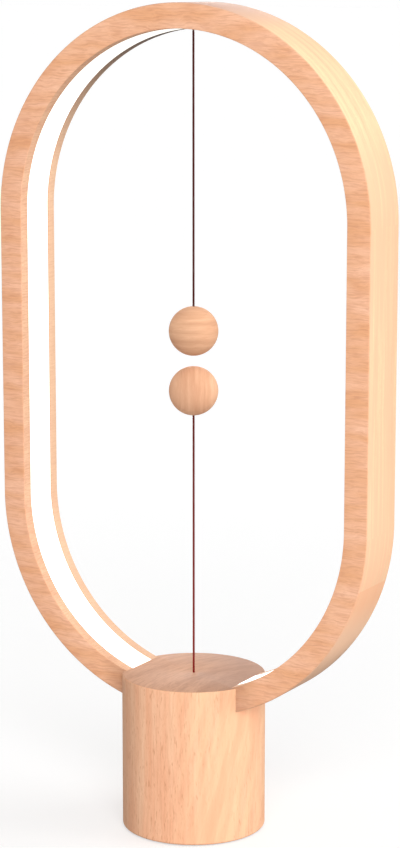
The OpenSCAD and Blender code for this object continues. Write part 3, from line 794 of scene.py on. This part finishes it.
def lathe(name, profile, material, segments=96, high=0.0):
    """Object turned about the lamp's axis, from a closed profile of (radius, height) points above that height."""
    points = []
    for k in range(segments):
        angle = tau * k / segments
        points += [(r * cos(angle), r * sin(angle), high + z) for r, z in profile]
    steps = len(profile)
    faces = []
    for k in range(segments):
        for i in range(steps):
            here, there = k * steps, ((k + 1) % segments) * steps
            after = (i + 1) % steps
            if profile[i][0] or profile[after][0]:
                faces.append((here + i, there + i, there + after, here + after))
    return make_object(name, mesh_of(name, points, faces, 35), material)


anchor_low, anchor_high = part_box("thread_anchor")
flange_low = anchor_high.z - 0.8 * mm
grommet_r = anchor_hole_r - 0.02 * mm
grommet_hole_r = 0.6 * mm
grommet = lathe("thread_grommet", rounded([
    (grommet_hole_r, anchor_low.z, 0.15 * mm), (grommet_r, anchor_low.z, 0.2 * mm), (grommet_r, flange_low, 0),
    (anchor_high.x, flange_low, 0.15 * mm), (anchor_high.x, anchor_high.z, 0.25 * mm),
    (grommet_hole_r, anchor_high.z, 0.15 * mm),
]), white_plastic, 48)
stand_for(grommet, "white_plastic", "thread_anchor")

# ---------- Base ----------
# Turned beech base with a cavity from below, and a cap that is glued over the ring's foot. The grain stands
# upright, so the sides show tall bands and the top is end grain. The power socket's recess is milled into the back.
shell_low, shell_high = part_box("base_shell")
base_r = shell_high.x
base_low = shell_low.z
seam_z = shell_high.z
cap_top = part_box("base_cap")[1].z
base_wall = 7 * mm
cavity_r = base_r - base_wall
cavity_top = ring_low.z - 8 * mm
ledge_r = base_r - 1.9 * mm
ledge_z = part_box("ballast")[0].z
foot_round = 1.2 * mm
top_round = 0.6 * mm
thread_hole_r = 0.85 * mm
seat_reach = radians(26)  # to either side of the axis
recess_wide, recess_high = 13.2 * mm, 7.4 * mm
socket_wide, socket_thick = 9.14 * mm, 3.4 * mm
base_turn = radians(29.5)  # of its grain about the axis
side_light = (255, 206, 169)
side_dark = (248, 187, 149)
side_line = (202, 128, 92)
side_pale = (254, 208, 165)
side_rosy = (249, 186, 147)
painted_left_shade = (180, 150, 125)
top_light = (224, 173, 141)
top_dark = (203, 153, 122)
top_line = (164, 116, 90)
darker_top_side = (150, 112, 92)
heart_away = 85  # millimetres from the base's axis to the heart of its log
heart_turn = radians(-42)

base_wood, tree, place = start_material("base_beech", Specular_IOR_Level=0.12)
log = axes(place, 0, 1, 2, -base_turn)
upright = wood(axes(log, 2, 0, 1), side_light, side_dark, side_line,
               Band_width=4.0, Band_length=70.0, Line_length=16.0, Lines=0.22, Flecks=0.48, Wander=1.6)
across, back, up = split(log)
leaning = calc("MULTIPLY_ADD", up, -0.26, across)
slanted = joined(tree, leaning, back, up)
bands = remap(noise(stretched(slanted, 0.24, 0.12, 0.012), detail=2), 0.38, 0.62)
paler = times(remap(bands, 0, 1, 0.1, 0.6), remap(across, -16, 2))
side_colour = mixed(paler, upright["Color"], side_pale)
from_heart = calc("ABSOLUTE", minus(leaning, 7))
rosy = times(remap(bands, 0, 1, 0.95, 0.15), remap(from_heart, 5, 13, 1.0, 0.0))
side_colour = mixed(rosy, side_colour, side_rosy)
# Painted shade: the left side of the base, away from the lamps, is greyer and darker.
side_colour = mixed(remap(across, -23, -30, 0.0, 0.22), side_colour, painted_left_shade)
heart_x = minus(across, heart_away * cos(heart_turn))
heart_y = minus(back, heart_away * sin(heart_turn))
growth = calc("SQRT", calc("MULTIPLY_ADD", heart_x, heart_x, times(heart_y, heart_y)))
round_heart = times(calc("ARCTAN2", heart_y, heart_x), heart_away)
end_grain = wood(joined(tree, round_heart, growth), top_light, top_dark, top_line,
                 Band_width=6.0, Band_length=60.0, Line_gap=0.9, Line_length=7.0, Flecks=0.12, Wander=3.0)
# The top turns darker towards one side.
top_colour = mixed(remap(across, -6, 24, 0.0, 0.55), end_grain["Color"], darker_top_side)
on_top = above(up, (cap_top - 0.15 * mm) / mm)
finish_wood(upright, mixed(on_top, side_colour, top_colour), 0.05 * mm, 0.5)


def arc_block(name, low_r, high_r):
    """Block that follows the ring's lowest arc, from one radius to another, to cut the ring's seat with."""
    steps = 48
    section = [(low_r, -half_deep), (low_r, half_deep), (high_r, half_deep), (high_r, -half_deep)]
    points = []
    for i in range(steps + 1):
        turn = seat_reach * (2 * i / steps - 1)
        points += [(r * sin(turn), y, arc_low - r * cos(turn)) for r, y in section]
    faces = rows_of_faces(steps + 1, 4) + [(0, 1, 2, 3), tuple(range(4 * steps, 4 * steps + 4))]
    return make_object(name, mesh_of(name, points, faces))


def flat_slot(name, wide, high, low_y, high_y, middle_z):
    """Block with a stadium section that lies along Y, to cut the recess of the power socket with."""
    half = (wide - high) / 2
    turns = [pi * i / 24 - pi / 2 for i in range(25)]
    edge = [(half + high / 2 * cos(turn), high / 2 * sin(turn)) for turn in turns]
    edge += [(-x, -z) for x, z in edge]
    count = len(edge)
    points = [(x, y, middle_z + z) for y in (low_y, high_y) for x, z in edge]
    faces = rows_of_faces(2, count) + [tuple(range(count)), tuple(range(count, 2 * count))]
    return make_object(name, mesh_of(name, points, faces))


shell = lathe("turned_base", rounded([
    (0, seam_z, 0), (base_r, seam_z, 0), (base_r, base_low, foot_round), (ledge_r, base_low, 0.2 * mm),
    (ledge_r, ledge_z, 0), (cavity_r, ledge_z, 0), (cavity_r, cavity_top, 0), (0, cavity_top, 0),
], 6), base_wood, 144)
socket_low, socket_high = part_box("inlet_shell")
socket_z = (socket_low.z + socket_high.z) / 2
mouth_y = socket_high.y
carve(shell, arc_block("ring_seat", ring_half - 20 * mm, ring_half))
carve(shell, flat_slot("recess", recess_wide, recess_high, mouth_y - 1.5 * mm, base_r + 1 * mm, socket_z))
carve(shell, flat_slot("socket_hole", socket_wide, socket_thick, 0, mouth_y, socket_z))
cover_screw_r = (cavity_r + base_r - 2 * mm) / 2
screw_angles = [radians(angle) for angle in (30, 150, 270)]
screw_holes = [(cover_screw_r * cos(a), cover_screw_r * sin(a), 1.1 * mm, 0, 14 * mm) for a in screw_angles]
drill(shell, [(*hole, cavity_top - 1 * mm, seam_z) for hole in foot_holes] + screw_holes)
stand_for(shell, "base_wood", "base_shell")

cap = lathe("turned_cap", rounded([
    (0, seam_z, 0), (base_r, seam_z, 0), (base_r, cap_top, top_round), (thread_hole_r, cap_top, 0.3 * mm),
    (thread_hole_r, cap_top - 1 * mm, 0), (0, cap_top - 1 * mm, 0),
]), base_wood, 144)
carve(cap, arc_block("ring_foot", inner_r, ring_half + 1 * mm))
drill(cap, [
    (0, 0, guide_high.x, seam_z - 1 * mm, guide_high.z), (0, 0, thread_hole_r, seam_z, cap_top - 0.5 * mm),
])
stand_for(cap, "cap_wood", "base_cap")

brass, _, tones = toned("drawn_brass", 6, (214, 176, 102), (180, 140, 74), detail=3, along=0.1, Metallic=1.0)
roughened(tones, 0.22, 0.4)
guide = lathe("brass_thread_guide", rounded([
    (thread_hole_r, guide_low.z, 0.15 * mm), (guide_high.x, guide_low.z, 0.1 * mm),
    (guide_high.x, guide_high.z, 0.1 * mm), (thread_hole_r, guide_high.z, 0.2 * mm),
]), brass, 48)
stand_for(guide, "brass", "thread_guide")

steel, place, _ = toned("zinc_plated_steel", 0.8, (206, 208, 210), (168, 170, 174), detail=4, Metallic=1.0)
scratch = noise(stretched(place, 2, 2, 9))
roughened(scratch, 0.22, 0.42)
bumped(scratch, 0.01 * mm, 0.4)


def screw_mesh(name, head_r, head_h, shank_r, length):
    """Pan-head cross-recess screw that points up, its head's outer face at z = 0."""
    pitch = 0.8 * mm
    sides = 20
    rows = [(0.0, 0.0, False), (head_r * 0.72, 0.0, False), (head_r * 0.93, head_h * 0.16, False),
            (head_r, head_h * 0.42, False), (head_r, head_h, False), (shank_r * 0.98, head_h, False)]
    turns = max(2, round((length - head_h - 1 * mm) / pitch))
    start = length - turns * pitch
    rows += [(shank_r * 0.98, start, True)]
    rows += [(shank_r * 0.98, start + i * pitch / 4, True) for i in range(1, 4 * turns - 3)]
    rows += [(shank_r * 0.2, length - 0.02 * mm, False), (0.0, length, False)]
    points = []
    for r, z, cut in rows:
        for k in range(sides):
            angle = tau * k / sides
            wave = abs(((z - start) / pitch - k / sides) % 1.0 - 0.5) * 2 if cut else 0.0
            here = r * (1 - 0.22 * wave)
            points.append((here * cos(angle), here * sin(angle), z))
    screw = make_object(name, mesh_of(name, points, rows_of_faces(len(rows), sides), 50))
    for wide, deep in ((0.62, 0.16), (0.16, 0.62)):
        work = bmesh.new()
        block(work, (-wide * head_r, -deep * head_r, -1 * mm), (wide * head_r, deep * head_r, head_h * 0.62))
        carve(screw, make_object("cross", settle(work, bpy.data.meshes.new("cross"), 35)), 50)
    mesh = screw.data
    bpy.data.objects.remove(screw)
    return mesh


ring_screw = screw_mesh("ring_screw", ring_head_r, 1.8 * mm, 1.48 * mm, screw_high.z - screw_low.z)
seats = [((side * screw_x, 0, screw_low.z), (0, 0, 0.4 * side)) for side in (1, -1)]
stand_for(on_seats("ring_foot_screws", ring_screw, seats, steel, 50), "steel", "ring_screws")

# ---------- Pull switch ----------
# Nylon rod that the pull thread lifts against a spring, and whose collar works a micro switch through a lever.
# The moulded carrier stands on the ballast and guides the rod.
grey_plastic, place, _ = toned("grey_abs", 0.5, (222, 221, 218), (206, 205, 202), detail=3, Roughness=0.5)
bumped(noise(stretched(place, 4)), 0.02 * mm, 0.4)
black_plastic, place, _ = toned("black_abs", 0.3, (38, 38, 40), (52, 51, 52))
stipple = noise(stretched(place, 5), detail=1)
roughened(stipple, 0.42, 0.62)
bumped(stipple, 0.05 * mm, 0.5)
button_red, _, _ = toned("red_nylon", 2, (186, 34, 30), (160, 24, 24), Roughness=0.4)

rod_low, rod_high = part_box("pull_rod")
spring_low, spring_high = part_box("return_spring")
rod_r = 2.5 * mm
rod_hole_r = 0.6 * mm
rod_hole_low = rod_high.z - 2 * mm
collar_r = rod_high.x
collar_high = spring_low.z
collar_low = collar_high - 1.5 * mm
rod = lathe("nylon_pull_rod", rounded([
    (0, rod_low.z, 0), (rod_r, rod_low.z, 0.3 * mm), (rod_r, collar_low, 0), (collar_r, collar_low, 0.3 * mm),
    (collar_r, collar_high, 0.3 * mm), (rod_r, collar_high, 0), (rod_r, rod_high.z, 0.3 * mm),
    (rod_hole_r, rod_high.z, 0), (rod_hole_r, rod_hole_low, 0), (0, rod_hole_low, 0),
]), white_plastic, 64)
stand_for(rod, "white_plastic", "pull_rod")

spring_wire = 0.3 * mm
spring_r = 3.7 * mm
spring_turns = 5
spring_rise = spring_high.z - spring_low.z - 2 * spring_wire
line = []
for i in range(spring_turns * 32 + 1):
    share = i / (spring_turns * 32)
    turn = tau * spring_turns * share
    line.append(Vector((spring_r * cos(turn), spring_r * sin(turn),
                        spring_low.z + spring_wire + spring_rise * share)))
spring = sweep("coiled_return_spring", line, wire_section(spring_wire), steel)
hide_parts("return_spring")
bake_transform(spring)

for name, material in (
    ("stop_clip", steel), ("thread_crimp", brass), ("switch_carrier", grey_plastic), ("micro_switch", black_plastic),
    ("switch_terminals", steel), ("switch_lever", steel), ("switch_button", button_red),
):
    finish_node(name, material)

# ---------- Electronics ----------
# Small green control board, screwed to the carrier's posts, with black moulded parts and the pressed steel
# power socket soldered to it, behind the recess at the back. Two pairs of wires run to the strip and the switch.
board_green, tree, place = start_material("solder_mask", Roughness=0.35)
traces = add(tree, "ShaderNodeTexVoronoi", {"Vector": stretched(place, 0.55), "Scale": 1.0}, distance="CHEBYCHEV")
traces = remap(traces.outputs["Distance"], 0.42, 0.46)
feed(mixed(traces, (28, 92, 52), (44, 122, 70)), "Base Color")
bumped(traces, 0.03 * mm, 0.5)

parts_dark, _, tones = toned("moulded_parts", 1.5, (58, 58, 62), (84, 84, 88), detail=3, Roughness=0.45)
bumped(tones, 0.02 * mm, 0.4)
wire_red, _, _ = toned("wire_red", 0.8, (196, 44, 38), (168, 30, 28), Roughness=0.4)
wire_blue, _, _ = toned("wire_blue", 0.8, (44, 62, 156), (32, 46, 128), Roughness=0.4)

for name, material in (
    ("control_board", board_green), ("board_parts", parts_dark), ("board_screws", steel), ("inlet_shell", steel),
    ("inlet_tongue", black_plastic), ("inlet_bezel", black_plastic), ("lead_wires", wire_red),
    ("switch_wires", wire_blue),
):
    finish_node(name, material)

# ---------- Foot ----------
# Turned steel ballast under the carrier, held by three long screws. A moulded black cover closes the base, held
# to the wood by three more screws, and a disc of foam rubber is stuck over it.
ballast_steel, place, _ = toned("turned_ballast", 0.3, (140, 141, 144), (108, 107, 108), detail=4, Metallic=1.0)
from_axis = add(place.id_data, "ShaderNodeVectorMath", {0: stretched(place, 1, 1, 0)}, operation="LENGTH")
rings = noise(joined(place.id_data, times(from_axis.outputs["Value"], 5.0)))
roughened(rings, 0.3, 0.55)
bumped(rings, 0.03 * mm, 0.5)
finish_node("ballast", ballast_steel)
finish_node("bottom_cover", black_plastic)

for name, head_r, head_h, shank_r, radius in (
    ("stack_screws", 2.75 * mm, 1.7 * mm, 1.48 * mm, cavity_r - 6 * mm),
    ("cover_screws", 2 * mm, 1.5 * mm, 1.08 * mm, cover_screw_r),
):
    low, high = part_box(name)
    screw = screw_mesh("one_of_" + name, head_r, head_h, shank_r, high.z - low.z)
    seats = [((radius * cos(a), radius * sin(a), low.z), (0, 0, 2.3 * a)) for a in screw_angles]
    stand_for(on_seats("cross_head_" + name, screw, seats, steel, 50), "steel", name)

foam, tree, place = start_material("foot_foam", Roughness=0.95, Specular_IOR_Level=0.15)
cells = add(tree, "ShaderNodeTexVoronoi", {"Vector": stretched(place, 1.6), "Scale": 1.0}).outputs["Distance"]
feed(mixed(cells, (30, 30, 31), (52, 52, 53)), "Base Color")
bumped(cells, 0.15 * mm, 0.8)
pad_low, pad_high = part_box("foot_pad")
pad = lathe("foam_foot_pad", rounded([
    (0, pad_low.z, 0), (pad_high.x, pad_low.z, 0.3 * mm), (pad_high.x, pad_high.z, 0.1 * mm), (0, pad_high.z, 0),
]), foam, 96)
stand_for(pad, "foot_foam", "foot_pad")

# ---------- Balls ----------
# Two turned beech balls, sanded smooth, each with a nickel-plated magnet in a bore behind a wooden plug. The
# magnets pull towards each other, so both threads stay taut. The upper ball's grain lies level, the lower's stands.
ball_r = (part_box("upper_ball")[1].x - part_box("upper_ball")[0].x) / 2
bore_r = 5.05 * mm
hole_r = 0.6 * mm
plug_r = bore_r - 0.02 * mm
plug_in = ball_r - 2.85 * mm
ball_line = (202, 142, 106)
upper_high, lower_high = 245.4 * mm, 216.5 * mm
for name, up, order, high, ball_light, ball_dark in (
    ("upper", 1, (0, 2, 1), upper_high, (235, 187, 151), (212, 160, 126)),
    ("lower", -1, (2, 0, 1), lower_high, (240, 193, 158), (221, 168, 134)),
):
    ball_wood, _, place = start_material(name + "_ball_beech", Specular_IOR_Level=0.12)
    grain = wood(stretched(axes(place, *order, -base_turn), 1, 1, 0.08), ball_light, ball_dark, ball_line,
                 Band_width=3.2, Band_length=40.0, Line_gap=0.6, Line_length=9.0, Lines=0.25, Flecks=0.12, Wander=1.5)
    finish_wood(grain, grain["Color"], 0.04 * mm, 0.5)
    for part, start, end, steps, flip, inside in (
        ("ball", asin(hole_r / ball_r), pi - asin(bore_r / ball_r), 56, up, [(bore_r, 0), (hole_r, 0)]),
        ("plug", 0.0, asin(plug_r / ball_r), 12, -up, [(plug_r, -up * plug_in), (0, -up * plug_in)]),
    ):
        turns = [start + (end - start) * i / steps for i in range(steps + 1)]
        profile = [(ball_r * sin(turn), flip * ball_r * cos(turn)) for turn in turns]
        piece = lathe(f"{name}_turned_{part}", profile + inside, ball_wood, 96, high)
        stand_for(piece, "ball_wood", f"{name}_{part}")

nickel, _, tones = toned("nickel_plate", 1.2, (206, 204, 198), (186, 184, 178), detail=4, Metallic=1.0)
roughened(tones, 0.14, 0.28)
for name in ("upper_magnet", "lower_magnet"):
    low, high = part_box(name)
    disc = lathe("nickel_" + name, rounded([
        (0, low.z, 0), (high.x, low.z, 0.3 * mm), (high.x, high.z, 0.3 * mm), (0, high.z, 0),
    ]), nickel, 64)
    stand_for(disc, "magnet_nickel", name)

# ---------- Studio ----------
# Plain white table and background, which shows white to the camera. Three very wide suns, one disc lamp near the
# front and a little light from everywhere stand for a photographer's soft boxes.
floor_half = 30.0
floor_mesh = bpy.data.meshes.new("floor")
corners = [(-1, -1, 0), (1, -1, 0), (1, 1, 0), (-1, 1, 0)]
floor_mesh.from_pydata([tuple(floor_half * c for c in corner) for corner in corners], [], [(0, 1, 2, 3)])
floor_white, tree, place = start_material("white_table", Roughness=0.9, Specular_IOR_Level=0.0,
                                          Emission_Color=(1, 1, 1, 1))
grains = noise(stretched(place, 0.01))
greys = {0: grains, 6: (0.5, 0.5, 0.5, 1), 7: (0.51, 0.51, 0.51, 1)}
feed(add(tree, "ShaderNodeMix", greys, data_type="RGBA").outputs[2], "Base Color")
seen = add(tree, "ShaderNodeLightPath").outputs
# Painted shade: the floor's own glow is a little weaker close to the base, which also offsets the near lamp's light
# there.
from_lamp_axis = add(tree, "ShaderNodeVectorMath", {0: stretched(place, mm)}, operation="LENGTH").outputs["Value"]
feed(times(seen["Is Camera Ray"], remap(from_lamp_axis, 0.05, 0.8, 0.54, 0.59)), "Emission Strength")
floor = make_object("floor", floor_mesh, floor_white)

world = bpy.data.worlds.new("studio")
world.use_nodes = True
bpy.context.scene.world = world
tree = world.node_tree
back = tree.nodes["Background"]
back.inputs["Color"].default_value = (1, 1, 1, 1)
seen = add(tree, "ShaderNodeLightPath").outputs
direct = calc("MAXIMUM", seen["Is Camera Ray"], seen["Is Glossy Ray"])
direct = calc("MAXIMUM", direct, seen["Is Transmission Ray"])
tree.links.new(remap(direct, 0.0, 1.0, 0.42, 1.0), back.inputs["Strength"])

for name, towards, strength, wide in (
    ("front_lamp", (0.45, -0.8, 0.34), 1.8, 45), ("right_lamp", (0.84, 0.4, 0.32), 1.45, 45),
    ("back_lamp", (-0.49, 0.87, 0.12), 1.2, 30),
):
    lamp_data = bpy.data.lights.new(name, "SUN")
    lamp_data.energy = strength
    lamp_data.angle = radians(wide)
    lamp = make_object(name, lamp_data)
    lamp.rotation_euler = Vector(towards).to_track_quat("Z", "Y").to_euler()
near_data = bpy.data.lights.new("near_lamp", "AREA")
near_data.shape = "DISK"
near_data.size = 0.5
near_data.energy = 2.1
near_lamp = make_object("near_lamp", near_data)
near_lamp.location = (0.6, -0.7, 0.75)
near_lamp.rotation_euler = (near_lamp.location - Vector((0, 0, 0.3))).to_track_quat("Z", "Y").to_euler()

bpy.context.scene.view_settings.view_transform = "Standard"
